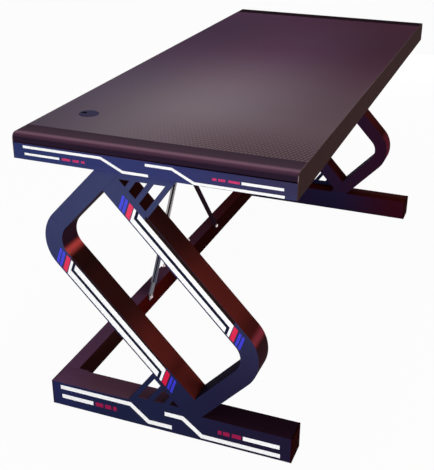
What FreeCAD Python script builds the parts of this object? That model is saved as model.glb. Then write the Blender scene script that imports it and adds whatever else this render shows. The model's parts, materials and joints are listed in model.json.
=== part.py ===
"""Gaming desk on two bent-tube end frames, in millimetres.

Seen from the front, +X runs to the right, +Y to the rear and +Z up.
The origin is on the floor, below the middle of the desk's outer box.
"""
import FreeCAD, Part
import os
from math import asin, atan2, cos, hypot, pi, radians, sin

# Driving dimensions: lengths in millimetres, angles in degrees from the floor
SIZES = {
    "desk_length": 1600,
    "desk_depth": 690,
    "desk_height": 760,
    # Desktop: board, laminate, end nosings and long fascias
    "top_thickness": 23,
    "laminate_thickness": 1,
    "board_lap": 2,
    "nose_radius": 14,
    "nose_under_radius": 8,
    "fascia_thickness": 2,
    # End frames: top beam, foot beam and two bent leg tubes
    "beam_height": 39,
    "frame_depth": 70,
    "tube_wall": 1.5,
    "leg_width": 46,
    "leg_angle": 47,
    "bend_inner_radius": 51,
    "bend_reach": 275,
    "bend_drop": 193,
    "diagonal_drop": 13.6,
    "frame_setback": 11.5,
    "foot_height": 72,
    "foot_overhang": 16,
    "foot_setback": 45,
    "cap_thickness": 3,
    "cap_plug_length": 12,
    "cap_clearance": 0.2,
    # Slatted gusset plates in the corners of the end frames
    "gusset_thickness": 6,
    "gusset_reach": 139,
    "gusset_rim": 13,
    "gusset_foot_rim": 8,
    "slat_angle": 54,
    # Cross members: floor stretcher and two rails below the desktop
    "stretcher_depth": 40,
    "stretcher_height": 60,
    "front_rail_depth": 40,
    "rear_rail_depth": 50,
    "flange_thickness": 4,
    "flange_ear": 30,
    "flange_bolt_pitch": 20,
    # Crossed brace rods between stretcher and rear rail
    "brace_foot_spread": 283,
    "brace_head_spread": 240,
    "brace_bolt_drop": 12,
    "rod_diameter": 16,
    "rod_gap": 1,
    "tab_width": 25,
    "tab_thickness": 4,
    "tab_grip": 46,
    "spacer_diameter": 18,
    "clip_bolt_spread": 105,
    "clip_bolt_inset": 8,
    # Fasteners
    "bolt_diameter": 6,
    "bolt_head_diameter": 13,
    "bolt_crown_diameter": 8,
    "bolt_head_height": 6,
    "bolt_engagement": 10,
    "hole_clearance": 0.3,
    "screw_diameter": 5,
    "screw_head_diameter": 10,
    "screw_crown_diameter": 6,
    "screw_head_height": 3,
    "screw_bite": 14,
    # Levelling glides below the foot beams
    "glide_height": 8,
    "glide_inset": 60,
    "glide_diameter": 38,
    "glide_edge": 1.5,
    "stem_diameter": 8,
    "stem_length": 34,
    "stem_clearance": 0.05,
    "nut_diameter": 16,
    "nut_length": 16,
    "nut_flange_diameter": 24,
    "nut_flange_thickness": 2.5,
    # Cable grommet in the rear left of the desktop
    "grommet_from_end": 193,
    "grommet_from_rear": 96,
    "grommet_diameter": 50,
    "grommet_flange_height": 1.5,
    "grommet_sleeve_diameter": 44,
    "grommet_wall": 2,
    "grommet_ledge": 2,
    "grommet_cap_thickness": 3.5,
    "grommet_notch_diameter": 14,
    "turning_clearance": 0.1,
    "seat_gap": 0.3,
    # How far a cutting shape runs past the solid that it cuts
    "overrun": 1,
}
# Screw places below the desktop, as shares of the desk's depth and length
BEAM_SCREW_SHARES = (-0.36, -0.12, 0.36)
RAIL_SCREW_SHARES = (-0.3, -0.1, 0.1, 0.3)
GUSSET_SLOTS = 3
# Upright rim of a domed bolt or screw head, as a share of the head's height
HEAD_RIM_SHARE = 0.33

doc = FreeCAD.newDocument("gaming_desk")
sheet = doc.addObject("Spreadsheet::Sheet", "dims")
for row, (alias, number) in enumerate(SIZES.items(), start=1):
    sheet.set(f"A{row}", alias)
    sheet.set(f"B{row}", str(number))
    sheet.setAlias(f"B{row}", alias)
doc.recompute()
sub_parts = []

# Places worked out from the driving dimensions, as expressions over the sheet
HALF_LENGTH = "(dims.desk_length / 2)"
DESK_REAR = "((dims.desk_depth + dims.foot_overhang) / 2)"
DESK_FRONT = f"({DESK_REAR} - dims.desk_depth)"
FOOT_FRONT = f"({DESK_FRONT} - dims.foot_overhang)"
FOOT_REAR = f"({DESK_REAR} - dims.foot_setback)"
FOOT_TOP = "(dims.glide_height + dims.foot_height)"
TOP_UNDERSIDE = "(dims.desk_height - dims.top_thickness)"
BEAM_BOTTOM = f"({TOP_UNDERSIDE} - dims.beam_height)"
INNER_FRONT = f"({DESK_FRONT} + dims.fascia_thickness)"
INNER_REAR = f"({DESK_REAR} - dims.fascia_thickness)"
FRAME_INSIDE = f"({HALF_LENGTH} - dims.frame_depth)"
NOSING_WIDTH = "(dims.frame_depth - dims.board_lap)"
FRAME_MIDDLE = f"({HALF_LENGTH} - dims.frame_depth / 2)"
FRAME_CENTRE_HEIGHT = f"(({BEAM_BOTTOM} + {FOOT_TOP}) / 2)"
STRETCHER_FRONT = f"({FOOT_REAR} - dims.stretcher_depth)"
STRETCHER_BOTTOM = f"({FOOT_TOP} - dims.stretcher_height)"
REAR_RAIL_FRONT = f"({INNER_REAR} - dims.rear_rail_depth)"
GROMMET_X = f"(dims.grommet_from_end - {HALF_LENGTH})"
GROMMET_Y = f"({DESK_REAR} - dims.grommet_from_rear)"
SIDES = (("left", -1), ("right", 1))


def measure(expression):
    """The value of an expression over the sheet, as a plain number."""
    return float(sheet.evalExpression(expression))


def place(piece, low):
    """Bind a piece's corner or centre to three expressions."""
    for axis, expression in zip("xyz", low):
        piece.setExpression(f"Placement.Base.{axis}", expression)
    return piece


def finish(piece, label):
    """Give a finished sub-part the label that names its file."""
    piece.Label = label
    sub_parts.append(piece)
    return piece


def box(name, low, size):
    piece = doc.addObject("Part::Box", name)
    for side, expression in zip(("Length", "Width", "Height"), size):
        piece.setExpression(side, expression)
    return place(piece, low)


def rod(name, diameter, length, at, turn=FreeCAD.Rotation()):
    """A cylinder that starts at a point and runs along its turned Z axis."""
    piece = doc.addObject("Part::Cylinder", name)
    piece.setExpression("Radius", f"({diameter}) / 2")
    piece.setExpression("Height", length)
    piece.Placement = FreeCAD.Placement(FreeCAD.Vector(*map(measure, at)), turn)
    return piece


def cut(name, base, tools):
    """A base with one or more shapes taken away."""
    tool = tools[0]
    if len(tools) > 1:
        tool = doc.addObject("Part::MultiFuse", f"{name}_cuts")
        tool.Shapes = tools
    piece = doc.addObject("Part::Cut", name)
    piece.Base = base
    piece.Tool = tool
    return piece


def fuse(name, pieces):
    piece = doc.addObject("Part::MultiFuse", name)
    piece.Shapes = pieces
    return piece


def group(name, pieces):
    piece = doc.addObject("Part::Compound", name)
    piece.Links = pieces
    return piece


def box_tube(name, low, size, along):
    """A rectangular tube with open ends, along axis number `along`."""
    wall, overrun = "dims.tube_wall", "dims.overrun"
    inner_low = [f"{at} + {wall}" for at in low]
    inner_size = [f"{length} - 2 * {wall}" for length in size]
    inner_low[along] = f"{low[along]} - {overrun}"
    inner_size[along] = f"{size[along]} + 2 * {overrun}"
    outer = box(f"{name}_outside", low, size)
    return cut(f"{name}_tube", outer, [box(f"{name}_inside", inner_low, inner_size)])


# Axes for extruded outlines: outline x to Y and y to Z, or outline x to X and y to Z
ACROSS_X = FreeCAD.Rotation(FreeCAD.Vector(1, 1, 1), 120)
ACROSS_Y = FreeCAD.Rotation(FreeCAD.Vector(1, 0, 0), 90)
POINT_TO = {
    "+X": FreeCAD.Rotation(FreeCAD.Vector(0, 1, 0), 90),
    "-X": FreeCAD.Rotation(FreeCAD.Vector(0, 1, 0), -90),
    "+Y": FreeCAD.Rotation(FreeCAD.Vector(1, 0, 0), -90),
    "+Z": FreeCAD.Rotation(),
    "-Z": FreeCAD.Rotation(FreeCAD.Vector(1, 0, 0), 180),
}


def arc(centre, radius, start, end):
    """A counter-clockwise arc between two angles in radians."""
    circle = Part.Circle(FreeCAD.Vector(*centre, 0), FreeCAD.Vector(0, 0, 1), radius)
    return Part.ArcOfCircle(circle, start, end)


def lines(points, closed=True):
    """Straight edges through points."""
    ends = points[1:] + points[:1] if closed else points[1:]
    return [Part.LineSegment(FreeCAD.Vector(*a, 0), FreeCAD.Vector(*b, 0)) for a, b in zip(points, ends)]


def extrude(name, outline, turn, low, length):
    """A closed outline extruded square to its plane."""
    sketch = doc.addObject("Sketcher::SketchObject", f"{name}_outline")
    sketch.addGeometry(outline, False)
    sketch.Placement = FreeCAD.Placement(FreeCAD.Vector(), turn)
    place(sketch, low)
    piece = doc.addObject("Part::Extrusion", name)
    piece.Base = sketch
    piece.DirMode = "Normal"
    piece.setExpression("LengthFwd", length)
    piece.Solid = True
    piece.FaceMakerClass = "Part::FaceMakerBullseye"
    return piece


def turned(name, profile):
    """A body of revolution about Z from a closed profile of (radius, height) points."""
    body = doc.addObject("PartDesign::Body", name)
    sketch = body.newObject("Sketcher::SketchObject", f"{name}_profile")
    plane = next(f for f in body.Origin.OriginFeatures if f.Role == "XZ_Plane")
    sketch.AttachmentSupport = [(plane, "")]
    sketch.MapMode = "FlatFace"
    sketch.addGeometry(lines(profile), False)
    revolution = body.newObject("PartDesign::Revolution", f"{name}_revolution")
    revolution.Profile = sketch
    revolution.ReferenceAxis = (sketch, ["V_Axis"])
    revolution.Angle = 360
    body.Tip = revolution
    return body


def fastener(name, kind, shank, at, way):
    """A domed bolt or screw whose head sits at a point and whose shank runs along `way`."""
    crown_radius = measure(f"dims.{kind}_crown_diameter / 2")
    head_radius = measure(f"dims.{kind}_head_diameter / 2")
    shank_radius = measure(f"dims.{kind}_diameter / 2")
    head = measure(f"dims.{kind}_head_height")
    length = measure(shank)
    profile = [(0, -head), (crown_radius, -head), (head_radius, -head * HEAD_RIM_SHARE), (head_radius, 0),
               (shank_radius, 0), (shank_radius, length), (0, length)]
    piece = turned(name, profile)
    piece.Placement = FreeCAD.Placement(FreeCAD.Vector(*map(measure, at)), POINT_TO[way])
    return piece


def signed(sign, expression):
    return f"({sign} * {expression})"


def outward(sign):
    """The way from the desk's middle to its right or left end."""
    return "+X" if sign > 0 else "-X"


def low_x(sign, outside, width):
    """The low X of a piece of a given width whose outer face is at +-outside."""
    return f"-{outside}" if sign < 0 else f"{outside} - {width}"


# Elevation of an end frame, measured from its centre of symmetry: (to the rear, up)
LEG_ANGLE = radians(measure("dims.leg_angle"))
SLAT_ANGLE = radians(measure("dims.slat_angle"))
LEG_ALONG = (-cos(LEG_ANGLE), sin(LEG_ANGLE))
LEG_OUT = (sin(LEG_ANGLE), cos(LEG_ANGLE))
SLAT_ALONG = (cos(SLAT_ANGLE), -sin(SLAT_ANGLE))
LEVEL = (1, 0)
INNER_RADIUS = measure("dims.bend_inner_radius")
OUTER_RADIUS = measure("dims.bend_inner_radius + dims.leg_width")
FRAME_TOP = measure(f"{BEAM_BOTTOM} - {FRAME_CENTRE_HEIGHT}")
BEND = (measure("dims.bend_reach") - OUTER_RADIUS, FRAME_TOP - measure("dims.bend_drop"))


def along(point, way, distance):
    return (point[0] + way[0] * distance, point[1] + way[1] * distance)


def opposite(point):
    """The same point after half a turn about the frame's centre."""
    return (-point[0], -point[1])


def meet(point, way, other, other_way):
    """Where two lines cross."""
    bottom = way[0] * other_way[1] - way[1] * other_way[0]
    gap = (other[0] - point[0], other[1] - point[1])
    return along(point, way, (gap[0] * other_way[1] - gap[1] * other_way[0]) / bottom)


def diagonal_angle():
    """The slope of a tube's lower run, so that it meets the other leg just below the top beam.

    Its outer side touches the outside of its own bend, and ends on the inner side of the other leg.
    """
    drop_line = (0, FRAME_TOP - measure("dims.diagonal_drop"))
    end = opposite(meet(along(BEND, LEG_OUT, INNER_RADIUS), LEG_ALONG, drop_line, LEVEL))
    run, rise = BEND[0] - end[0], BEND[1] - end[1]
    return atan2(rise, run) - asin(OUTER_RADIUS / hypot(run, rise))


DIAGONAL_ANGLE = diagonal_angle()
DIAGONAL_ALONG = (-cos(DIAGONAL_ANGLE), -sin(DIAGONAL_ANGLE))
DIAGONAL_OUT = (sin(DIAGONAL_ANGLE), -cos(DIAGONAL_ANGLE))


def leg_outline(inset, overrun):
    """The rear leg tube: down to the rear, round its bend, then down to the front.

    The front leg tube is the same tube after half a turn, so each tube's
    lower or upper end butts against the inner side of the other one.
    """
    outer, inner = OUTER_RADIUS - inset, INNER_RADIUS + inset
    top = (0, FRAME_TOP + overrun)
    butt = along(opposite(along(BEND, LEG_OUT, INNER_RADIUS)), DIAGONAL_ALONG, overrun)
    outer_start, outer_end = along(BEND, LEG_OUT, outer), along(BEND, DIAGONAL_OUT, outer)
    inner_start, inner_end = along(BEND, LEG_OUT, inner), along(BEND, DIAGONAL_OUT, inner)
    straight = [
        (meet(outer_start, LEG_ALONG, top, LEVEL), outer_start),
        (outer_end, meet(outer_end, DIAGONAL_ALONG, butt, LEG_ALONG)),
        (meet(outer_end, DIAGONAL_ALONG, butt, LEG_ALONG), meet(inner_end, DIAGONAL_ALONG, butt, LEG_ALONG)),
        (meet(inner_end, DIAGONAL_ALONG, butt, LEG_ALONG), inner_end),
        (inner_start, meet(inner_start, LEG_ALONG, top, LEVEL)),
        (meet(inner_start, LEG_ALONG, top, LEVEL), meet(outer_start, LEG_ALONG, top, LEVEL)),
    ]
    bends = [(BEND, outer), (BEND, inner)]
    return straight, bends


def leg_edges(half_turn, inset=0, overrun=0):
    straight, bends = leg_outline(inset, overrun)
    start, end = DIAGONAL_ANGLE - pi / 2, pi / 2 - LEG_ANGLE
    if half_turn:
        straight = [(opposite(a), opposite(b)) for a, b in straight]
        bends = [(opposite(centre), radius) for centre, radius in bends]
        start, end = start + pi, end + pi
    edges = [edge for pair in straight for edge in lines(list(pair), closed=False)]
    return edges + [arc(centre, radius, start, end) for centre, radius in bends]


def gusset_outlines(half_turn):
    """The slatted plate between top beam and front leg: its outline and its slots."""
    rim = measure("dims.gusset_rim")
    slat = rim / sin(SLAT_ANGLE)
    leg_side = along(BEND, LEG_OUT, INNER_RADIUS)
    diagonal_side = opposite(along(BEND, DIAGONAL_OUT, OUTER_RADIUS))
    slot_foot = along(diagonal_side, DIAGONAL_OUT, -measure("dims.gusset_foot_rim"))
    slot_head = (0, FRAME_TOP - rim)
    corner = meet(leg_side, LEG_ALONG, (0, FRAME_TOP), LEVEL)
    tip = along(corner, LEVEL, -measure("dims.gusset_reach"))
    outline = [corner, meet(leg_side, LEG_ALONG, diagonal_side, DIAGONAL_ALONG),
               meet(tip, SLAT_ALONG, diagonal_side, DIAGONAL_ALONG), tip]
    first = meet(slot_foot, DIAGONAL_ALONG, slot_head, LEVEL)
    last = along(meet(tip, SLAT_ALONG, slot_head, LEVEL), LEVEL, slat)
    slot = (first[0] - last[0] - (GUSSET_SLOTS - 1) * slat) / GUSSET_SLOTS
    outlines = [outline]
    for index in range(GUSSET_SLOTS):
        rear = along(first, LEVEL, -index * (slot + slat))
        front = along(rear, LEVEL, -slot)
        foot = [meet(rear, SLAT_ALONG, slot_foot, DIAGONAL_ALONG)] if index else []
        outlines.append([rear, front, meet(front, SLAT_ALONG, slot_foot, DIAGONAL_ALONG)] + foot)
    if half_turn:
        outlines = [[opposite(point) for point in points] for points in outlines]
    return [edge for points in outlines for edge in lines(points)]


# Cross member bolts, shared by the flanges, the holes in the end frames and the bolts
def flange_bolts(ear_middle, mid_height):
    pitch = "dims.flange_bolt_pitch / 2"
    return [(ear_middle, f"{mid_height} + {pitch}"), (ear_middle, f"{mid_height} - {pitch}")]


BEAM_MIDDLE = f"({BEAM_BOTTOM} + dims.beam_height / 2)"
STRETCHER_MIDDLE = f"({FOOT_TOP} - dims.stretcher_height / 2)"
STRETCHER_BOLTS = flange_bolts(f"({STRETCHER_FRONT} - dims.flange_ear / 2)", STRETCHER_MIDDLE)
FRONT_RAIL_REAR = f"({INNER_FRONT} + dims.front_rail_depth)"
FRONT_RAIL_BOLTS = flange_bolts(f"({FRONT_RAIL_REAR} + dims.flange_ear / 2)", BEAM_MIDDLE)
REAR_RAIL_BOLTS = flange_bolts(f"({REAR_RAIL_FRONT} - dims.flange_ear / 2)", BEAM_MIDDLE)
BOLT_HOLE = "dims.bolt_diameter + 2 * dims.hole_clearance"
SCREW_HOLE = "dims.screw_diameter + 2 * dims.hole_clearance"


def side_holes(name, sign, places):
    """Bolt holes through the inner wall of an end frame's tube."""
    start = signed(sign, f"({FRAME_INSIDE} - dims.overrun)")
    length = "dims.tube_wall + 2 * dims.overrun"
    way = POINT_TO[outward(sign)]
    return [rod(f"{name}_bolt_hole_{n}", BOLT_HOLE, length, (start, y, z), way)
            for n, (y, z) in enumerate(places)]


def screw_holes(name, places):
    """Upright screw holes through both walls of a tube below the desktop."""
    length = "dims.beam_height + 2 * dims.overrun"
    return [rod(f"{name}_screw_hole_{n}", SCREW_HOLE, length, (x, y, f"{BEAM_BOTTOM} - dims.overrun"))
            for n, (x, y) in enumerate(places)]


def beam_screw_places(sign):
    return [(signed(sign, FRAME_MIDDLE), f"{share} * dims.desk_depth") for share in BEAM_SCREW_SHARES]


def rail_screw_places(middle):
    return [(f"{share} * dims.desk_length", middle) for share in RAIL_SCREW_SHARES]


FRONT_RAIL_MIDDLE = f"({INNER_FRONT} + dims.front_rail_depth / 2)"
REAR_RAIL_MIDDLE = f"({INNER_REAR} - dims.rear_rail_depth / 2)"


def make_desktop():
    """Board and laminate, the board holed for the grommet's sleeve and the laminate for its flange."""
    inside = f"(dims.desk_length - 2 * {NOSING_WIDTH})"
    low = f"({NOSING_WIDTH} - {HALF_LENGTH})"
    depth = "dims.desk_depth - 2 * dims.fascia_thickness"
    board = "dims.top_thickness - dims.laminate_thickness"
    laminate = "dims.laminate_thickness"
    for label, height, bottom, grommet_size in (
            ("desktop_panel", board, TOP_UNDERSIDE, "dims.grommet_sleeve_diameter"),
            ("carbon_laminate", laminate, f"dims.desk_height - {laminate}", "dims.grommet_diameter")):
        sheet_piece = box(f"{label}_blank", (low, INNER_FRONT, bottom), (inside, depth, height))
        bore = rod(f"{label}_hole", f"{grommet_size} + 2 * dims.hole_clearance",
                   f"{height} + 2 * dims.overrun", (GROMMET_X, GROMMET_Y, f"{bottom} - dims.overrun"))
        finish(cut(f"{label}_cut", sheet_piece, [bore]), label)


def make_nosing(side, sign):
    """A bullnose strip along one short end of the desktop."""
    top, under = measure("dims.nose_radius"), measure("dims.nose_under_radius")
    width, height = measure(NOSING_WIDTH), measure("dims.top_thickness")
    edges = (lines([(width - top, height), (0, height), (0, 0), (width - under, 0)], closed=False)
             + lines([(width, under), (width, height - top)], closed=False)
             + [arc((width - under, under), under, -pi / 2, 0),
                arc((width - top, height - top), top, 0, pi / 2)])
    # The left strip is the right one after half a turn about the upright
    turn = ACROSS_Y if sign > 0 else FreeCAD.Rotation(FreeCAD.Vector(0, 0, 1), 180).multiply(ACROSS_Y)
    start = INNER_REAR if sign > 0 else INNER_FRONT
    low = (signed(sign, f"({HALF_LENGTH} - {NOSING_WIDTH})"), start, TOP_UNDERSIDE)
    length = "dims.desk_depth - 2 * dims.fascia_thickness"
    finish(extrude(f"{side}_nosing_bar", edges, turn, low, length), f"{side}_nosing")


def make_fascia(label, rear_face):
    """A flat strip over a long edge of desktop and rail, its upper corners rounded like the nosings."""
    half, radius = measure(HALF_LENGTH), measure("dims.nose_radius")
    height = measure("dims.top_thickness + dims.beam_height")
    edges = (lines([(-half, height - radius), (-half, 0), (half, 0), (half, height - radius)], closed=False)
             + lines([(half - radius, height), (radius - half, height)], closed=False)
             + [arc((half - radius, height - radius), radius, 0, pi / 2),
                arc((radius - half, height - radius), radius, pi / 2, pi)])
    low = ("0", rear_face, BEAM_BOTTOM)
    finish(extrude(f"{label}_strip", edges, ACROSS_Y, low, "dims.fascia_thickness"), label)


def make_end_frame(side, sign):
    """Top beam, foot beam, two leg tubes and two gussets, all one tube's width deep."""
    low = low_x(sign, HALF_LENGTH, "dims.frame_depth")
    beam_length = "dims.desk_depth - 2 * dims.fascia_thickness"
    beam = box_tube(f"{side}_beam", (low, INNER_FRONT, BEAM_BOTTOM),
                    ("dims.frame_depth", beam_length, "dims.beam_height"), 1)
    holes = side_holes(f"{side}_beam", sign, FRONT_RAIL_BOLTS + REAR_RAIL_BOLTS)
    holes += screw_holes(f"{side}_beam", beam_screw_places(sign))
    finish(cut(f"{side}_beam_drilled", beam, holes), f"{side}_top_beam")

    foot_low = f"({FOOT_FRONT} + dims.cap_thickness)"
    foot_length = f"({FOOT_REAR} - {FOOT_FRONT} - 2 * dims.cap_thickness)"
    foot = box_tube(f"{side}_foot", (low, foot_low, "dims.glide_height"),
                    ("dims.frame_depth", foot_length, "dims.foot_height"), 1)
    holes = side_holes(f"{side}_foot", sign, STRETCHER_BOLTS)
    holes += [rod(f"{side}_foot_nut_hole_{n}", "dims.nut_diameter + 2 * dims.hole_clearance",
                  "dims.tube_wall + 2 * dims.overrun",
                  (signed(sign, FRAME_MIDDLE), y, "dims.glide_height - dims.overrun"))
              for n, y in enumerate(GLIDE_PLACES.values())]
    finish(cut(f"{side}_foot_drilled", foot, holes), f"{side}_foot_beam")

    frame_centre = ("dims.frame_setback", FRAME_CENTRE_HEIGHT)
    wall, overrun = measure("dims.tube_wall"), measure("dims.overrun")
    for leg, half_turn in (("rear", False), ("front", True)):
        name = f"{side}_{leg}_leg"
        outside = extrude(f"{name}_outside", leg_edges(half_turn), ACROSS_X, (low, *frame_centre),
                          "dims.frame_depth")
        inside = extrude(f"{name}_inside", leg_edges(half_turn, wall, overrun), ACROSS_X,
                         (f"{low} + dims.tube_wall", *frame_centre), "dims.frame_depth - 2 * dims.tube_wall")
        finish(cut(f"{name}_bent", outside, [inside]), f"{name}_tube")

    plate_low = low_x(sign, HALF_LENGTH, "dims.gusset_thickness")
    for level, half_turn in (("upper", False), ("lower", True)):
        plate = extrude(f"{side}_{level}_plate", gusset_outlines(half_turn), ACROSS_X,
                        (plate_low, *frame_centre), "dims.gusset_thickness")
        finish(plate, f"{side}_{level}_gusset")


def make_foot_caps(side, sign):
    """Plastic plugs that close both ends of a foot beam."""
    low = low_x(sign, HALF_LENGTH, "dims.frame_depth")
    gap = "(dims.tube_wall + dims.cap_clearance)"
    plug = "(dims.cap_plug_length + dims.cap_thickness)"
    for end, plate_low, plug_low in (
            ("front", FOOT_FRONT, FOOT_FRONT),
            ("rear", f"({FOOT_REAR} - dims.cap_thickness)", f"({FOOT_REAR} - {plug})")):
        name = f"{side}_foot_{end}_cap"
        plate = box(f"{name}_plate", (low, plate_low, "dims.glide_height"),
                    ("dims.frame_depth", "dims.cap_thickness", "dims.foot_height"))
        core = box(f"{name}_plug", (f"{low} + {gap}", plug_low, f"dims.glide_height + {gap}"),
                   (f"dims.frame_depth - 2 * {gap}", plug, f"dims.foot_height - 2 * {gap}"))
        finish(fuse(f"{name}_body", [plate, core]), name)


GLIDE_PLACES = {
    "front": f"({FOOT_FRONT} + dims.glide_inset)",
    "rear": f"({FOOT_REAR} - dims.glide_inset)",
}


def make_glides(side, sign):
    """Screw-in levelling glides: a foot pad and its threaded stem, in an insert nut."""
    pad_radius, edge = measure("dims.glide_diameter / 2"), measure("dims.glide_edge")
    pad_top = measure("dims.glide_height - dims.seat_gap")
    nut_bore = measure("dims.stem_diameter / 2 + dims.stem_clearance")
    nut_radius, flange_radius = measure("dims.nut_diameter / 2"), measure("dims.nut_flange_diameter / 2")
    seat = measure("dims.tube_wall")
    flange_top = seat + measure("dims.nut_flange_thickness")
    nut_top = measure("dims.nut_length")
    pad = [(0, 0), (pad_radius - edge, 0), (pad_radius, edge), (pad_radius, pad_top - edge),
           (pad_radius - edge, pad_top), (0, pad_top)]
    nut = [(nut_bore, 0), (nut_radius, 0), (nut_radius, seat), (flange_radius, seat),
           (flange_radius, flange_top), (nut_radius, flange_top), (nut_radius, nut_top), (nut_bore, nut_top)]
    x = signed(sign, FRAME_MIDDLE)
    nuts = []
    for end, y in GLIDE_PLACES.items():
        name = f"{side}_{end}_glide"
        finish(place(turned(f"{name}_foot", pad), (x, y, "0")), f"{name}_pad")
        stem = rod(f"{name}_screw", "dims.stem_diameter", "dims.stem_length",
                   (x, y, "dims.glide_height - dims.seat_gap"))
        finish(stem, f"{name}_stem")
        nuts.append(place(turned(f"{name}_nut", nut), (x, y, "dims.glide_height")))
    finish(group(f"{side}_nuts", nuts), f"{side}_insert_nuts")


def make_cross_member(label, low, depth, bottom, height, bolts, tube_holes):
    """A tube along the desk with a drilled flange plate at each end."""
    middle_y, _ = bolts[0]
    ear_front = f"({middle_y} - dims.flange_ear / 2)"
    plate_front = f"min({ear_front}; {low})"
    plate_depth = f"({depth} + dims.flange_ear)"
    half = f"({FRAME_INSIDE} - dims.flange_thickness)"
    tube = box_tube(label, (f"-{half}", low, bottom), (f"2 * {half}", depth, height), 0)
    pieces = [cut(f"{label}_drilled", tube, tube_holes)]
    for side, sign in SIDES:
        plate_low = low_x(sign, FRAME_INSIDE, "dims.flange_thickness")
        plate = box(f"{label}_{side}_plate", (plate_low, plate_front, bottom),
                    ("dims.flange_thickness", plate_depth, height))
        start = signed(sign, f"({half} - dims.overrun)")
        way = POINT_TO[outward(sign)]
        holes = [rod(f"{label}_{side}_plate_hole_{n}", BOLT_HOLE, "dims.flange_thickness + 2 * dims.overrun",
                     (start, y, z), way) for n, (y, z) in enumerate(bolts)]
        pieces.append(cut(f"{label}_{side}_flange", plate, holes))
    finish(fuse(f"{label}_welded", pieces), label)


def make_frame_bolts(label, bolts):
    """Bolts that hold a cross member's flanges to the end frames."""
    head = f"({FRAME_INSIDE} - dims.flange_thickness)"
    shank = "dims.flange_thickness + dims.bolt_engagement"
    pieces = [fastener(f"{label}_{side}_{n}", "bolt", shank, (signed(sign, head), y, z), outward(sign))
              for side, sign in SIDES for n, (y, z) in enumerate(bolts)]
    finish(group(f"{label}_set", pieces), label)


# Crossed brace rods: both feet and the rear rod's head lie on the cross members' front faces.
# The front rod's head stands off the rail, just far enough for the rods to clear where they cross.
BRACE_WAYS = {"brace_rod_rear": 1, "brace_rod_front": -1}
BRACE_FOOT_HEIGHT = f"({FOOT_TOP} - dims.brace_bolt_drop)"
BRACE_CROSSING = "(dims.brace_foot_spread / (dims.brace_foot_spread + dims.brace_head_spread))"
HEAD_STANDOFFS = {
    "brace_rod_rear": "0",
    "brace_rod_front": f"((dims.rod_diameter + dims.rod_gap) / {BRACE_CROSSING})",
}


def brace_ends(label):
    """Bolt centres on the front faces of stretcher and rear rail: (x, face, z, tab's standoff)."""
    way = BRACE_WAYS[label]
    foot_x, head_x = signed(-way, "dims.brace_foot_spread"), signed(way, "dims.brace_head_spread")
    return {"foot": (foot_x, STRETCHER_FRONT, BRACE_FOOT_HEIGHT, "0"),
            "head": (head_x, REAR_RAIL_FRONT, BEAM_MIDDLE, HEAD_STANDOFFS[label])}


def brace_holes(name, end):
    """Bolt holes in the front wall of the stretcher (foot) or the rear rail (head)."""
    holes = []
    for label in BRACE_WAYS:
        x, face, z, _ = brace_ends(label)[end]
        holes.append(rod(f"{name}_{label}_hole", BOLT_HOLE, "dims.tube_wall + 2 * dims.overrun",
                         (x, f"{face} - dims.overrun", z), POINT_TO["+Y"]))
    return holes


def make_brace_rod(label):
    """A round rod with both ends flattened into drilled tabs that lie on upright faces."""
    ends = {end: FreeCAD.Vector(measure(x), measure(f"{face} - {standoff} - dims.tab_thickness"), measure(z))
            for end, (x, face, z, standoff) in brace_ends(label).items()}
    rise = ends["head"] - ends["foot"]
    lean = FreeCAD.Rotation(FreeCAD.Vector(0, 0, 1), FreeCAD.Vector(rise.x, 0, rise.z))
    pieces, bores, necks = [], [], {}
    for end, start in (("foot", "0"), ("head", "-dims.tab_grip")):
        blade = box(f"{label}_{end}_blade", ("-dims.tab_width / 2", "0", start),
                    ("dims.tab_width", "dims.tab_thickness", "dims.tab_grip"))
        eye = rod(f"{label}_{end}_eye", "dims.tab_width", "dims.tab_thickness", ("0", "0", "0"),
                  POINT_TO["+Y"])
        bore = rod(f"{label}_{end}_bore", BOLT_HOLE, "dims.tab_thickness + 2 * dims.overrun",
                   ("0", "-dims.overrun", "0"), POINT_TO["+Y"])
        tab = cut(f"{label}_{end}_tab", fuse(f"{label}_{end}_blank", [blade, eye]), [bore])
        tab.Placement = FreeCAD.Placement(ends[end], lean)
        reach = "dims.tab_grip" if end == "foot" else start
        neck = FreeCAD.Vector(0, measure("dims.tab_thickness / 2"), measure(reach))
        necks[end] = ends[end] + lean.multVec(neck)
        pieces.append(tab)
    shaft_way = necks["head"] - necks["foot"]
    overlap = measure("dims.overrun")
    shaft = doc.addObject("Part::Cylinder", f"{label}_shaft")
    shaft.setExpression("Radius", "dims.rod_diameter / 2")
    shaft.Height = shaft_way.Length + 2 * overlap
    start = necks["foot"] - shaft_way * (overlap / shaft_way.Length)
    shaft.Placement = FreeCAD.Placement(start, FreeCAD.Rotation(FreeCAD.Vector(0, 0, 1), shaft_way))
    finish(fuse(f"{label}_forged", pieces + [shaft]), label)


def make_brace_fasteners():
    """Bolts at the rods' four ends, and the sleeve that stands the front rod's head off."""
    bolts = []
    for label in BRACE_WAYS:
        for end, (x, face, z, standoff) in brace_ends(label).items():
            seat = f"{face} - {standoff} - dims.tab_thickness"
            shank = f"{standoff} + dims.tab_thickness + dims.bolt_engagement"
            bolts.append(fastener(f"{label}_{end}_bolt", "bolt", shank, (x, seat, z), "+Y"))
    finish(group("brace_bolt_set", bolts), "brace_bolts")
    x, face, z, standoff = brace_ends("brace_rod_front")["head"]
    body = rod("brace_sleeve", "dims.spacer_diameter", standoff,
               (x, f"{face} - {standoff}", z), POINT_TO["+Y"])
    bore = rod("brace_sleeve_bore", BOLT_HOLE, f"{standoff} + 2 * dims.overrun",
               (x, f"{face} - {standoff} - dims.overrun", z), POINT_TO["+Y"])
    finish(cut("brace_sleeve_bored", body, [bore]), "brace_spacer")


CLIP_BOLT_Y = f"({FOOT_REAR} - dims.clip_bolt_inset)"
CLIP_BOLT_XS = [signed(sign, "dims.clip_bolt_spread") for _, sign in SIDES]


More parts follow.
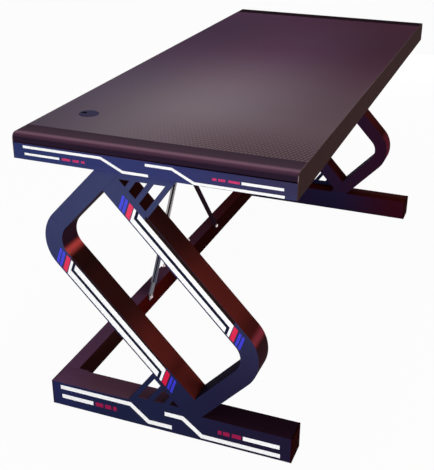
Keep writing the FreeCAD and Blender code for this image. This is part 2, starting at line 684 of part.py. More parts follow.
def clip_bolt_holes():
    length = "dims.tube_wall + 2 * dims.overrun"
    start = f"{FOOT_TOP} - dims.tube_wall - dims.overrun"
    return [rod(f"clip_bolt_hole_{n}", BOLT_HOLE, length, (x, CLIP_BOLT_Y, start))
            for n, x in enumerate(CLIP_BOLT_XS)]


def make_clip_bolts():
    """Two bolts on top of the stretcher, near its rear edge."""
    bolts = [fastener(f"clip_bolt_{n}", "bolt", "dims.bolt_engagement", (x, CLIP_BOLT_Y, FOOT_TOP), "-Z")
             for n, x in enumerate(CLIP_BOLT_XS)]
    finish(group("clip_bolt_set", bolts), "stretcher_top_bolts")


def make_top_screws():
    """Long screws from below, through beams and rails, into nosings and board."""
    places = [place_xy for _, sign in SIDES for place_xy in beam_screw_places(sign)]
    places += rail_screw_places(FRONT_RAIL_MIDDLE) + rail_screw_places(REAR_RAIL_MIDDLE)
    shank = "dims.beam_height + dims.screw_bite"
    screws = [fastener(f"top_screw_{n}", "screw", shank, (x, y, BEAM_BOTTOM), "+Z")
              for n, (x, y) in enumerate(places)]
    finish(group("top_screw_set", screws), "desktop_screws")


def make_grommet():
    """A flanged sleeve through the desktop, seated on the board, and a notched cap that turns in it."""
    flange, sleeve = measure("dims.grommet_diameter / 2"), measure("dims.grommet_sleeve_diameter / 2")
    bore = sleeve - measure("dims.grommet_wall")
    ledge = bore - measure("dims.grommet_ledge")
    rise, depth = measure("dims.grommet_flange_height"), measure("dims.top_thickness")
    shoulder = measure("dims.laminate_thickness")
    seat = rise - measure("dims.grommet_cap_thickness + dims.seat_gap")
    profile = [(bore, rise), (flange - rise, rise), (flange, 0), (flange, -shoulder), (sleeve, -shoulder),
               (sleeve, -depth), (ledge, -depth), (ledge, seat), (bore, seat)]
    centre = (GROMMET_X, GROMMET_Y, "dims.desk_height")
    finish(place(turned("grommet_ring", profile), centre), "grommet_sleeve")

    cap_diameter = "(dims.grommet_sleeve_diameter - 2 * dims.grommet_wall - 2 * dims.turning_clearance)"
    cap_bottom = "dims.desk_height + dims.grommet_flange_height - dims.grommet_cap_thickness"
    disc = rod("grommet_disc", cap_diameter, "dims.grommet_cap_thickness", (GROMMET_X, GROMMET_Y, cap_bottom))
    notch_y = f"{GROMMET_Y} + {cap_diameter} / 2 - dims.grommet_notch_diameter / 2"
    notch_low = f"{cap_bottom} - dims.overrun"
    notch_height = "dims.grommet_cap_thickness + 2 * dims.overrun"
    notch = rod("grommet_notch", "dims.grommet_notch_diameter", notch_height, (GROMMET_X, notch_y, notch_low))
    mouth = box("grommet_mouth", (f"{GROMMET_X} - dims.grommet_notch_diameter / 2", notch_y, notch_low),
                ("dims.grommet_notch_diameter", "dims.grommet_notch_diameter", notch_height))
    finish(cut("grommet_lid", disc, [notch, mouth]), "grommet_cap")


make_desktop()
make_fascia("front_fascia", INNER_FRONT)
make_fascia("rear_fascia", DESK_REAR)
for side, sign in SIDES:
    make_nosing(side, sign)
    make_end_frame(side, sign)
    make_foot_caps(side, sign)
    make_glides(side, sign)
stretcher_holes = brace_holes("stretcher", "foot") + clip_bolt_holes()
front_rail_holes = screw_holes("front_rail", rail_screw_places(FRONT_RAIL_MIDDLE))
rear_rail_holes = screw_holes("rear_rail", rail_screw_places(REAR_RAIL_MIDDLE))
rear_rail_holes += brace_holes("rear_rail", "head")
make_cross_member("stretcher", STRETCHER_FRONT, "dims.stretcher_depth", STRETCHER_BOTTOM,
                  "dims.stretcher_height", STRETCHER_BOLTS, stretcher_holes)
make_cross_member("front_rail", INNER_FRONT, "dims.front_rail_depth", BEAM_BOTTOM,
                  "dims.beam_height", FRONT_RAIL_BOLTS, front_rail_holes)
make_cross_member("rear_rail", REAR_RAIL_FRONT, "dims.rear_rail_depth", BEAM_BOTTOM,
                  "dims.beam_height", REAR_RAIL_BOLTS, rear_rail_holes)
make_frame_bolts("stretcher_bolts", STRETCHER_BOLTS)
make_frame_bolts("front_rail_bolts", FRONT_RAIL_BOLTS)
make_frame_bolts("rear_rail_bolts", REAR_RAIL_BOLTS)
for rod_label in BRACE_WAYS:
    make_brace_rod(rod_label)
make_brace_fasteners()
make_clip_bolts()
make_top_screws()
make_grommet()

doc.recompute()
for piece in doc.Objects:
    if {"Invalid", "Error"} & set(piece.State):
        raise RuntimeError(f"{piece.Label} did not build: {piece.State}")
for piece in sub_parts:
    if piece.Shape.isNull() or not piece.Shape.isValid() or not piece.Shape.Solids:
        raise RuntimeError(f"{piece.Label} has no valid solid")

os.makedirs("parts", exist_ok=True)
for piece in sub_parts:
    piece.Shape.exportStep(f"parts/{piece.Label}.step")
    print(piece.Label, len(piece.Shape.Solids), round(piece.Shape.Volume))
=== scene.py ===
"""Looks of the gaming desk: finishes, printed stripes, studio floor, light and camera, in metres."""
import json
from math import cos, pi, radians, sin

import bmesh
import bpy
from mathutils import Matrix, Vector


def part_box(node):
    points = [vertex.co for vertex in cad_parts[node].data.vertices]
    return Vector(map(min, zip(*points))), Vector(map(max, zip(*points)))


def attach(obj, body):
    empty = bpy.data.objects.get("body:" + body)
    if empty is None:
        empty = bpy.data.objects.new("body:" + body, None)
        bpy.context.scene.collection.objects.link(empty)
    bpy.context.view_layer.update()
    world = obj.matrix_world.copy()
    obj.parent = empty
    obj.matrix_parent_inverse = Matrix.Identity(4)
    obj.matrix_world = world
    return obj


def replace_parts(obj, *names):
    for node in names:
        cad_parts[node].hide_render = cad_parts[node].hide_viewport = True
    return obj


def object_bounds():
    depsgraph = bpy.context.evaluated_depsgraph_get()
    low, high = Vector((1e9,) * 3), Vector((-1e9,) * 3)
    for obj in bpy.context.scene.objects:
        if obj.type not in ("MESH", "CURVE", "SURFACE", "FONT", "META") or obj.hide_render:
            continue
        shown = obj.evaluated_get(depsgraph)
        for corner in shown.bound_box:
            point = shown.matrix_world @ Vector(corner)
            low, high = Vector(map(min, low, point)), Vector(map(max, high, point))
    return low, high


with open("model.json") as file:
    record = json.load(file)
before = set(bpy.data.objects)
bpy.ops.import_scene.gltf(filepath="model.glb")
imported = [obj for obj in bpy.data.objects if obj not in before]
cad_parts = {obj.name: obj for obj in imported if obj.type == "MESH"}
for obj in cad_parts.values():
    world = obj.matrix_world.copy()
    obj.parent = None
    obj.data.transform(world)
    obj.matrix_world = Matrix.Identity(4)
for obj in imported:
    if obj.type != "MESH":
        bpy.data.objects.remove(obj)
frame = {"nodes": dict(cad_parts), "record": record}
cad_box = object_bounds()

SIDES = (("left", -1), ("right", 1))

# Elevation of an end frame, from its tubes: (to the rear, up) from the floor
LEG_WIDTH = 0.046
LEG_ANGLE = radians(47)
BEND_INNER_RADIUS = 0.051
BEND_DROP = 0.193
BEND_STEPS = 24
DIAGONAL_ANGLE = radians(46.35)
beam_low, beam_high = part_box("left_top_beam")
foot_low, foot_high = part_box("left_foot_beam")
REAR_BEND_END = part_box("left_rear_leg_tube")[1].y
FRONT_BEND_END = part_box("left_front_leg_tube")[0].y
FRAME_CENTRE = Vector(((REAR_BEND_END + FRONT_BEND_END) / 2, (beam_low.z + foot_high.z) / 2))
REAR_BEND = Vector((REAR_BEND_END - BEND_INNER_RADIUS - LEG_WIDTH, beam_low.z - BEND_DROP))
FRONT_BEND = FRAME_CENTRE * 2 - REAR_BEND

# Ways down and across the tubes' long slopes, and how far down both bends are
ALONG = Vector((-cos(DIAGONAL_ANGLE), -sin(DIAGONAL_ANGLE)))
ACROSS = Vector((sin(DIAGONAL_ANGLE), -cos(DIAGONAL_ANGLE)))
REAR_RUN, FRONT_RUN = ALONG.dot(REAR_BEND), ALONG.dot(FRONT_BEND)

# Other sizes
OUTER_FACE = cad_box[1][0]
NOSE_RADIUS = 0.0140
PRINT_THICKNESS = 0.0003
TUBE_ROUNDING = 0.0008
ROUNDING_SEGMENTS = 4
SMOOTH_BELOW = radians(35)

# Places between which tones change, from first to last
REAR_TO_FRONT = (0.30, -0.32)
NEAR_TO_FAR = (-0.75, 0.65)
LEFT_TO_RIGHT_FRAME = (-0.1, 0.1)

# Paint and plastic look satin in the photo: hardly any mirror-like reflection, and a fine grain
LOW_GLOSS = 0.0003
PLASTIC_GRAIN_DEPTH = 0.00008


# Small helpers for node materials
def start_material(name):
    """A new node material, with its tree and its Principled shader."""
    made = bpy.data.materials.new(name)
    made.use_nodes = True
    return made, made.node_tree, made.node_tree.nodes["Principled BSDF"]


def feed(tree, socket, value):
    """Gives a socket a constant or another node's output."""
    if isinstance(value, bpy.types.NodeSocket):
        tree.links.new(value, socket)
    else:
        socket.default_value = value


def node(tree, kind, inputs=None, **settings):
    """A shader node with its settings and its inputs, which are constants or other nodes' sockets."""
    made = tree.nodes.new(kind)
    for key, value in settings.items():
        setattr(made, key, value)
    for key, value in (inputs or {}).items():
        feed(tree, made.inputs[key], value)
    return made


def calc(tree, operation, first, second=0.0):
    return node(tree, "ShaderNodeMath", {0: first, 1: second}, operation=operation).outputs[0]


def product(tree, first, second):
    return calc(tree, "MULTIPLY", first, second)


def total(tree, first, second):
    return calc(tree, "ADD", first, second)


def size(tree, value):
    return calc(tree, "ABSOLUTE", value)


def between(tree, share, low, high):
    """A number that goes evenly from low at a share of 0 to high at 1."""
    return total(tree, product(tree, share, high - low), low)


def ramp(tree, value, low, high):
    """A share that goes smoothly from 0, where a value is low, to 1, where it is high."""
    return node(tree, "ShaderNodeMapRange", {"Value": value, "From Min": low, "From Max": high},
                interpolation_type="SMOOTHSTEP").outputs["Result"]


def band_at(tree, value, middle, reach):
    """1 where a value is at its middle, fading to 0 within a reach on both sides."""
    return ramp(tree, size(tree, calc(tree, "SUBTRACT", value, middle)), reach, 0.0)


def colour(code):
    """A linear RGBA colour from a hex code as it looks on a screen."""
    channels = [int(code[at:at + 2], 16) / 255 for at in (1, 3, 5)]
    linear = [c / 12.92 if c <= 0.04045 else ((c + 0.055) / 1.055) ** 2.4 for c in channels]
    return (*linear, 1.0)


def mix(tree, share, first, second):
    """Two colours, as hex codes or sockets, mixed by a share from 0 to 1."""
    made = node(tree, "ShaderNodeMix", data_type="RGBA")
    for index, value in ((0, share), (6, first), (7, second)):
        feed(tree, made.inputs[index], colour(value) if isinstance(value, str) else value)
    return made.outputs[2]


def fade(tree, value, low, high, first, second):
    """A colour that changes from the first, where a value is low, to the second, where it is high."""
    return mix(tree, ramp(tree, value, low, high), first, second)


def place(tree):
    """The point on the surface, in metres in the desk's frame."""
    return node(tree, "ShaderNodeTexCoord").outputs["Object"]


def axes(tree, vector):
    """The three parts of a vector, as sockets."""
    return node(tree, "ShaderNodeSeparateXYZ", {0: vector}).outputs


def facing(tree):
    """The three parts of the surface's direction."""
    return axes(tree, node(tree, "ShaderNodeNewGeometry").outputs["Normal"])


def noise(tree, grain, detail=2.0):
    """Soft noise from 0 to 1 whose grain has a size in metres."""
    made = node(tree, "ShaderNodeTexNoise", {"Vector": place(tree), "Scale": 1 / grain, "Detail": detail})
    return made.outputs["Fac"]


def bump(tree, shader, height, depth):
    made = node(tree, "ShaderNodeBump", {"Height": height, "Strength": 1.0, "Distance": depth})
    tree.links.new(made.outputs["Normal"], shader.inputs["Normal"])


def link(tree, socket, shader, name):
    tree.links.new(socket, shader.inputs[name])


def satin(tree, shader, tint, grain, roughness, depth):
    """Paint or plastic of a tint, whose fine grain has a depth and changes its roughness from low to high."""
    link(tree, tint, shader, "Base Color")
    link(tree, between(tree, grain, *roughness), shader, "Roughness")
    shader.inputs["Specular IOR Level"].default_value = LOW_GLOSS
    bump(tree, shader, grain, depth)


# Finishes
def carbon_laminate():
    """Satin laminate printed with staggered rows of short fibre dashes, its tone changing over the desktop as painted
    light: a painted highlight along the middle of its depth, and a painted red-violet tint of light towards the far
    end.
    """
    made, tree, shader = start_material("carbon_laminate")
    x, y, _ = axes(tree, place(tree))
    row_pitch, dash_length, stagger = 0.0118, 0.0098, 0.4
    row = calc(tree, "DIVIDE", x, row_pitch)
    run = total(tree, calc(tree, "DIVIDE", y, dash_length), product(tree, row, stagger))
    from_row_edge, from_dash_end = (calc(tree, "PINGPONG", count, 0.5) for count in (row, run))
    fibre = product(tree, ramp(tree, from_row_edge, 0.02, 0.35), ramp(tree, from_dash_end, 0.06, 0.42))

    # Painted light: a lighter painted highlight along the middle, and a red-violet painted tint towards the far end
    to_front = ramp(tree, y, *REAR_TO_FRONT)
    middle_highlight = band_at(tree, y, 0.02, 0.34)
    near_tone = mix(tree, middle_highlight, mix(tree, to_front, "#594e5c", "#5f4d54"), "#766970")
    far_tone = mix(tree, middle_highlight, mix(tree, to_front, "#4f3851", "#492a3b"), "#583b51")
    last_tone = mix(tree, to_front, "#633d5e", "#582b41")
    tone = fade(tree, x, 0.35, 0.85, fade(tree, x, -0.52, 0.28, near_tone, far_tone), last_tone)

    # Towards the near front corner the tone is paler, a painted pool of light, and the gaps between the dashes are
    # clearer
    in_front = ramp(tree, y, 0.25, -0.25)
    corner_light = product(tree, ramp(tree, x, -0.40, -0.74), in_front)
    clearness = product(tree, ramp(tree, x, -0.46, -0.74), in_front)
    brightest_corner_light, faintest_gap, clearest_gap = 0.7, 0.08, 0.68
    tone = mix(tree, product(tree, corner_light, brightest_corner_light), tone, "#786369")
    gap = product(tree, calc(tree, "SUBTRACT", 1.0, fibre), between(tree, clearness, faintest_gap, clearest_gap))
    link(tree, mix(tree, gap, tone, "#2c1f26"), shader, "Base Color")
    link(tree, ramp(tree, fibre, 1.9, -0.9), shader, "Roughness")
    shader.inputs["Specular IOR Level"].default_value = 0.002
    bump(tree, shader, fibre, 0.00004)
    return made


def moulded(name, base, deep, grain, roughness, upper=None, end=None):
    """Moulded or extruded plastic: a fine grain and faint clouds, with painted highlights in other tones on flat tops
    and ends if asked.
    """
    made, tree, shader = start_material(name)
    cloud, speck = noise(tree, 0.12), noise(tree, grain, detail=3.0)
    tone = total(tree, product(tree, cloud, 0.5), product(tree, speck, 0.5))
    tint = mix(tree, tone, deep, base)
    if upper:
        # Painted highlight on flat tops
        tint = fade(tree, facing(tree)[2], 0.75, 0.99, tint, upper)
    if end:
        # Painted highlight on the ends high up
        sideways = ramp(tree, size(tree, facing(tree)[0]), 0.8, 0.95)
        high = ramp(tree, axes(tree, place(tree))[2], beam_high.z - 0.004, beam_high.z + 0.012)
        tint = mix(tree, product(tree, sideways, high), tint, end)
    satin(tree, shader, tint, speck, (roughness - 0.1, roughness + 0.1), PLASTIC_GRAIN_DEPTH)
    return made


def nosing_film(name, strip, side, inner, outer, edge, sheen):
    """Plain film over a bullnose strip, with painted light: its flat top changes from its inner to its outer edge.

    The edge colour, a painted highlight, is on the round, above the side colour, which is painted shade, with a
    painted line of sheen where flat and round meet.
    """
    made, tree, shader = start_material(name)
    near_end, far_end = sorted(abs(corner.x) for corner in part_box(strip))
    round_start, sheen_width = far_end - NOSE_RADIUS, 0.012
    outward, up = size(tree, axes(tree, place(tree))[0]), facing(tree)[2]
    speck = noise(tree, 0.0010, detail=3.0)
    # Painted light: the side colour below is painted shade, the round is lighter, the flat top grows lighter outwards,
    # and a painted sheen line lies where flat and round meet
    tint = fade(tree, up, 0.2, 0.85, side, edge)
    tint = fade(tree, up, 0.8, 0.99, tint, fade(tree, outward, near_end, far_end, inner, outer))
    shine = product(tree, ramp(tree, outward, round_start - sheen_width, round_start), ramp(tree, up, 0.80, 0.98))
    tint = mix(tree, shine, tint, sheen)
    tint = mix(tree, product(tree, speck, 0.2), tint, side)
    satin(tree, shader, tint, speck, (0.32, 0.52), PLASTIC_GRAIN_DEPTH)
    return made


# Painted light and shade on the frame's paint, as tones by place on the end frames and by the way a face looks.
# A bend's part ends at the frame's middle, over a blend, and at a height past the bend, between two values.
PART_BLEND = 0.04
PART_ENDS = (0.10, 0.08)


def reach_along(tree, y, z, way):
    """How far a point lies along a way in the end frames' elevation."""
    return total(tree, product(tree, y, way.x), product(tree, z, way.y))


def rear_part(tree, y, z):
    """1 on the rear bends and the slope below them, 0 elsewhere."""
    return product(tree, ramp(tree, y, FRAME_CENTRE.x, FRAME_CENTRE.x + PART_BLEND),
                   ramp(tree, z, *(REAR_BEND.y + reach for reach in PART_ENDS)))


def front_part(tree, y, z):
    """1 on the front bends and the slope above them, 0 elsewhere."""
    return product(tree, ramp(tree, y, FRAME_CENTRE.x, FRAME_CENTRE.x - PART_BLEND),
                   ramp(tree, z, *(FRONT_BEND.y - reach for reach in PART_ENDS)))


def sloped_tone(tree, x, y, z, ahead, up):
    """Painted light on the tubes' upper and lower sides: red-brown, with painted shade dark down to mid-slope, and a
    painted shade and a painted sheen at each bend.
    """
    run = reach_along(tree, y, z, ALONG)
    middle = ACROSS.dot(FRAME_CENTRE)
    on_rear_tube = ramp(tree, reach_along(tree, y, z, ACROSS), middle - 0.02, middle + 0.02)
    start, end, rear_delay = -0.375, -0.245, 0.06
    since_head = calc(tree, "SUBTRACT", run, product(tree, on_rear_tube, rear_delay))
    tone = fade(tree, since_head, start, end, "#431d1a", "#782d28")
    # Painted shade: faces that turn down are darker
    tone = fade(tree, up, 0.05, -0.4, tone, "#2e1b26")

    # Painted shade and painted sheen at the rear bends, then at the front bends
    at_rear, at_front = rear_part(tree, y, z), front_part(tree, y, z)
    for part, run_there, reach, tint in ((at_rear, REAR_RUN + 0.045, 0.045, "#361a18"),
                                         (at_rear, REAR_RUN - 0.005, 0.019, "#ff605c"),
                                         (at_front, FRONT_RUN - 0.004, 0.060, "#5b211d"),
                                         (at_front, FRONT_RUN + 0.020, 0.019, "#a33d4c")):
        tone = mix(tree, product(tree, band_at(tree, run, run_there, reach), part), tone, tint)
    # Past the front sheen: painted shade on the near frame, a longer painted sheen on the far frame
    below = product(tree, ramp(tree, run, FRONT_RUN + 0.028, FRONT_RUN + 0.038), at_front)
    tone = mix(tree, below, tone, fade(tree, x, *LEFT_TO_RIGHT_FRAME, "#381a14", "#a8384c"))
    # Painted shade towards the far frame
    far_shade_share = 0.6
    tone = mix(tree, product(tree, ramp(tree, x, *NEAR_TO_FAR), far_shade_share), tone, "#2c0d10")
    # Faces that turn to the rear take a painted violet tint of light
    return fade(tree, ahead, 0.2, 0.6, tone, "#2a2138")


def outer_tone(tree, y, z):
    """Navy of the outer faces, a painted tint of light: lighter higher up and on the beams, greyer towards the front.
    """
    low = fade(tree, y, 0.33, 0.12, "#272b57", fade(tree, y, 0.05, -0.32, "#202545", "#221b36"))
    leg = fade(tree, z, 0.11, 0.63, low, "#3e436b")
    beam = fade(tree, y, 0.0, -0.34, fade(tree, y, 0.32, 0.06, "#303a6c", "#373c71"), "#3a3759")
    return fade(tree, z, 0.68, 0.71, leg, beam)


def inner_tone(tree, y, z):
    """Violet of the inner faces, a painted tint of light and shade, turning to wine red towards the front, on the feet
    and above them.
    """
    foot = fade(tree, y, -0.06, -0.32, "#2e2549", "#461424")
    leg = fade(tree, y, *REAR_TO_FRONT, "#332d58", "#3c1a30")
    return fade(tree, z, 0.08, 0.09, foot, leg)


def level_tone(tree, x, y):
    """Mauve of the level faces, a painted tint of light: dark in front as painted shade and red-brown at the far end,
    with a painted shadow across the stretcher.
    """
    rear = fade(tree, y, 0.28, 0.18, "#885b80", "#80566c")
    near = fade(tree, y, 0.05, -0.08, rear, "#351c2d")
    # A painted shadow across the stretcher
    shade_at, shade_reach, shade_share = -0.24, 0.10, 0.6
    shade = product(tree, band_at(tree, x, shade_at, shade_reach), shade_share)
    return mix(tree, shade, fade(tree, x, *NEAR_TO_FAR, near, "#521613"), "#3a1a2c")


def ahead_tone(tree, x, y, z):
    """Dark red of the faces that look ahead, painted light and shade, on the stretcher and at the front and rear
    bends.
    """
    run = reach_along(tree, y, z, ALONG)
    at_front = product(tree, front_part(tree, y, z), band_at(tree, run, FRONT_RUN + 0.05, 0.12))
    at_rear = product(tree, rear_part(tree, y, z), band_at(tree, run, REAR_RUN - 0.05, 0.10))
    bar = fade(tree, x, -0.22, -0.02, fade(tree, x, -0.45, -0.32, "#381916", "#56110c"), "#2f0804")
    front_bend = fade(tree, x, *LEFT_TO_RIGHT_FRAME, "#3c2127", "#6a2230")
    return fade(tree, at_rear, 0.1, 0.5, fade(tree, at_front, 0.1, 0.4, bar, front_bend), "#351c2b")


def frame_paint():
    """Black powder coat under painted light: the navy on the end frames' outer faces and the red-brown on all that
    turns away from them are painted tints of light and shade.
    """
    made, tree, shader = start_material("frame_paint")
    x, y, z = axes(tree, place(tree))
    across, ahead, up = facing(tree)
    sideways = ramp(tree, size(tree, across), 0.35, 0.75)
    outside = ramp(tree, size(tree, x), 0.74, 0.79)
    upright = ramp(tree, ahead, -0.85, -0.99)
    beam_margin, full_margin = 0.004, 0.002
    on_foot = ramp(tree, z, foot_high.z + beam_margin, foot_high.z + full_margin)
    on_beam = ramp(tree, z, beam_low.z - beam_margin, beam_low.z - full_margin)
    level = calc(tree, "MAXIMUM", ramp(tree, up, 0.75, 0.97), calc(tree, "MAXIMUM", on_foot, on_beam))
    turned = mix(tree, level, sloped_tone(tree, x, y, z, ahead, up), level_tone(tree, x, y))
    turned = mix(tree, upright, turned, ahead_tone(tree, x, y, z))
    # Painted light: navy on the outer faces, violet on the inner faces
    sides = mix(tree, outside, inner_tone(tree, y, z), outer_tone(tree, y, z))
    grain = noise(tree, 0.0012, detail=3.0)
    tint = mix(tree, product(tree, grain, 0.2), mix(tree, sideways, turned, sides), "#0c0a12")
    satin(tree, shader, tint, grain, (0.34, 0.52), 0.00006)
    return made


def printed(name, base, worn, low=None):
    """Screen-printed ink: nearly even, with a faint mottle and a slight gloss, in a deeper tone low down as painted
    shade if asked.
    """
    made, tree, shader = start_material(name)
    mottle = noise(tree, 0.004, detail=4.0)
    tint = fade(tree, mottle, 0.35, 0.75, base, worn)
    # Painted shade: a deeper tone low down
    if low:
        tint = fade(tree, axes(tree, place(tree))[2], 0.55, 0.20, tint, low)
    link(tree, tint, shader, "Base Color")
    link(tree, between(tree, mottle, 0.45, 0.65), shader, "Roughness")
    shader.inputs["Specular IOR Level"].default_value = 0.03
    return made


def metal(name, base, deep, grain, roughness):
    """Plated steel with a fine grain, which changes its roughness from low to high."""
    made, tree, shader = start_material(name)
    speck = noise(tree, grain, detail=3.0)
    link(tree, mix(tree, speck, deep, base), shader, "Base Color")
    link(tree, between(tree, speck, *roughness), shader, "Roughness")
    shader.inputs["Metallic"].default_value = 1.0
    bump(tree, shader, speck, 0.00003)
    return made


def chrome_rod(low, high):
    """Bright plated rod that leans from a low end to a high end: painted reflections as dark and light lines along it,
    and painted shade making it darker low down.
    """
    made, tree, shader = start_material("rod_chrome")
    line_count, dark_below, bright_above = 8.0, low.z + 0.13, low.z + 0.22
    lean = (high - low).normalized()
    first = lean.cross(Vector((0, 1, 0))).normalized()
    second = lean.cross(first)
    normal = node(tree, "ShaderNodeNewGeometry").outputs["Normal"]
    # Painted reflection lines, by the way the surface turns around the rod
    parts = [node(tree, "ShaderNodeVectorMath", {0: normal, 1: way}, operation="DOT_PRODUCT").outputs["Value"]
             for way in (first, second)]
    turn = product(tree, calc(tree, "ARCTAN2", *parts), line_count)
    line = ramp(tree, calc(tree, "SINE", turn), -0.8, 0.8)
    # Painted shade low down
    height = ramp(tree, axes(tree, place(tree))[2], dark_below, bright_above)
    dark = mix(tree, height, "#1a1c2c", "#4c484a")
    light = mix(tree, height, "#63616c", "#a8a3a3")
    link(tree, mix(tree, line, dark, light), shader, "Base Color")
    link(tree, between(tree, noise(tree, 0.001), 0.14, 0.24), shader, "Roughness")
    shader.inputs["Metallic"].default_value = 1.0
    return made


FINISHES = {
    "board": moulded("board", "#2b2523", "#1b1615", 0.0015, 0.6),
    "carbon_laminate": carbon_laminate(),
    "nosing": nosing_film("nosing", "left_nosing", "#281b2b", "#41323d", "#4f3c49", "#523648", "#7f5c6e"),
    # The fascia's paler top and upper end are painted highlights
    "fascia": moulded("fascia", "#4a3534", "#3e2c2d", 0.0012, 0.5, upper="#604e52", end="#8a7678"),
    "frame_paint": frame_paint(),
    "end_cap": moulded("end_cap", "#2b0301", "#1d0201", 0.0010, 0.5),
    "glide_pad": moulded("glide_pad", "#1c1a1a", "#0f0e0e", 0.0008, 0.7),
    "rod_chrome": chrome_rod(*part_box("brace_rod_rear")),
    "spacers": moulded("spacers", "#262222", "#171414", 0.0010, 0.6),
    "fasteners": metal("fasteners", "#f0dede", "#c3aeb0", 0.0008, (0.22, 0.37)),
    "grommet": moulded("grommet", "#3e3b53", "#322d45", 0.0008, 0.5),
}

# Each CAD node takes the finish of its material slot in the record; one rod and the far nosing are darker, as painted
# shade
SLOT_OF = {part["node"]: part["material_slot"] for part in frame["record"]["subparts"]}
for name, piece in frame["nodes"].items():
    piece.data.materials.clear()
    piece.data.materials.append(FINISHES[SLOT_OF[name]])
# The front rod is given a dark tone as painted shade instead of the chrome of the rear rod
frame["nodes"]["brace_rod_front"].data.materials[0] = moulded("rod_painted_shade", "#35222f", "#24141f", 0.0010, 0.4)
# The far nosing takes darker tones, painted shade
frame["nodes"]["right_nosing"].data.materials[0] = nosing_film(
    "far_nosing_painted_shade", "right_nosing", "#1f0f18", "#2a1420", "#1c0b14", "#241019", "#2c1620")


# Outlines of the prints, as (y, z) points
def ribbon(points, width):
    """The outline of a line of even width through (y, z) points, with mitred corners."""
    points = [Vector(point) for point in points]
    runs = [(b - a).normalized() for a, b in zip(points, points[1:])]
    first_side, second_side = [], []
    for index, point in enumerate(points):
        before, after = runs[max(index - 1, 0)], runs[min(index, len(runs) - 1)]
        mean = (before + after).normalized()
        normal = Vector((-mean.y, mean.x))
        reach = width / 2 / normal.dot(Vector((-before.y, before.x)))
        first_side.append(point + normal * reach)
        second_side.append(point - normal * reach)
    return first_side + second_side[::-1]


def level_line(rear, front, height, width):
    return ribbon(((rear, height), (front, height)), width)


def beam_print():
    """White lines and red dashes on a top beam, from about the middle of its lower edge."""
    width, thin = 0.0064, 0.0056
    upper, lower, rear_mid = 0.032, 0.006, 0.015
    front_upper, front_lower, front_mid = 0.031, 0.005, 0.0215
    white = [
        ribbon(((0.327, upper), (0.125, upper), (0.071, lower), (0.008, lower)), width),
        level_line(0.324, 0.232, rear_mid, thin),
        ribbon(((0.015, front_upper), (-0.049, front_upper), (-0.102, front_lower), (-0.307, front_lower)), width),
        level_line(-0.211, -0.305, front_mid, width),
    ]
    red = [level_line(rear, front, rear_mid, thin)
           for rear, front in ((0.225, 0.204), (0.197, 0.181), (0.175, 0.166))]
    red += [level_line(rear, front, front_mid, thin)
            for rear, front in ((-0.144, -0.154), (-0.158, -0.174), (-0.181, -0.207))]
    return {"white": white, "wine": red}


def foot_print():
    """White lines and red dashes on a foot beam, from about the middle of its lower edge."""
    width = 0.012
    upper, lower, rear_mid = 0.057, 0.0155, 0.029
    front_upper, front_lower, front_mid = 0.0535, 0.012, 0.0375
    white = [
        ribbon(((0.282, upper), (0.078, upper), (0.028, lower), (-0.037, lower)), width),
        level_line(0.279, 0.187, rear_mid, width),
        ribbon(((-0.018, front_upper), (-0.067, front_upper), (-0.119, front_lower), (-0.324, front_lower)), width),
        level_line(-0.228, -0.322, front_mid, width),
    ]
    red = [level_line(rear, front, rear_mid, width)
           for rear, front in ((0.180, 0.158), (0.152, 0.135), (0.129, 0.119))]
    red += [level_line(rear, front, front_mid, width)
            for rear, front in ((-0.162, -0.172), (-0.176, -0.193), (-0.199, -0.223))]
    return {"white": white, "wine": red}


def diagonal_print(half, shift, upper_side, border_cut):
    """A split white band between slanted red and blue stripes, along the rear tube's long slope.

    Points are (along, across) from the slope's middle, and slanted ends lean by `slant` of their height.
    The print reaches half its height to each side and is moved by a shift (along, across). A dark line
    splits the band, and a dark border of painted shade fills the tube's upper side beside it, cut short at its far
    end.
    """
    slant, slope_middle, edge_margin = 0.518, 0.202, 0.0006
    red_at, red_width, red_gap = 0.186, 0.0135, 0.0026
    blue_places, blue_width = (0.2020, 0.2132), 0.0078
    kink, half_gap, slanted_gap = 0.165, 0.0040, 0.0042
    border = LEG_WIDTH / 2 - edge_margin
    end = red_at - red_width / 2 - red_gap
    shift_along, shift_across = shift
    middle = REAR_BEND + ACROSS * (BEND_INNER_RADIUS + LEG_WIDTH / 2) + ALONG * slope_middle

    def place_on_tube(points):
        spots = [(run + slant * side + shift_along, side + shift_across) for run, side in points]
        return [middle + ALONG * run + ACROSS * side for run, side in spots]

    def stripe(at, width):
        return [(at - width / 2, -half), (at - width / 2, half), (at + width / 2, half), (at + width / 2, -half)]

    near_kink, far_kink = -kink - slanted_gap, kink - slanted_gap
    band = [(-end, -half), (-end, half), (far_kink, half), (far_kink, half_gap),
            (near_kink, half_gap), (near_kink, -half)]
    other_band = [(-run, -side) for run, side in band]
    half_split = [(near_kink, -half), (near_kink, half_gap), (far_kink, half_gap), (far_kink, half)]
    split = half_split + [(-run, -side) for run, side in half_split]
    # The dark border is painted shade along the tube's upper edge
    near_side, far_side = upper_side * half, upper_side * border - shift_across
    last = end - border_cut
    edge = [(-end, near_side), (last, near_side), (last, far_side), (-end, far_side)]
    return {
        "white": [place_on_tube(band), place_on_tube(other_band)],
        "red": [place_on_tube(stripe(sign * red_at, red_width)) for sign in (-1, 1)],
        "blue": [place_on_tube(stripe(sign * at, blue_width)) for sign in (-1, 1) for at in blue_places],
        "dark": [place_on_tube(edge)],
        "night": [place_on_tube(split)],
    }


def moved(outlines, shift):
    return [[point + shift for point in outline] for outline in outlines]


def half_turned(outlines):
    """Outlines after half a turn about the end frame's centre."""
    return [[FRAME_CENTRE * 2 - point for point in outline] for outline in outlines]


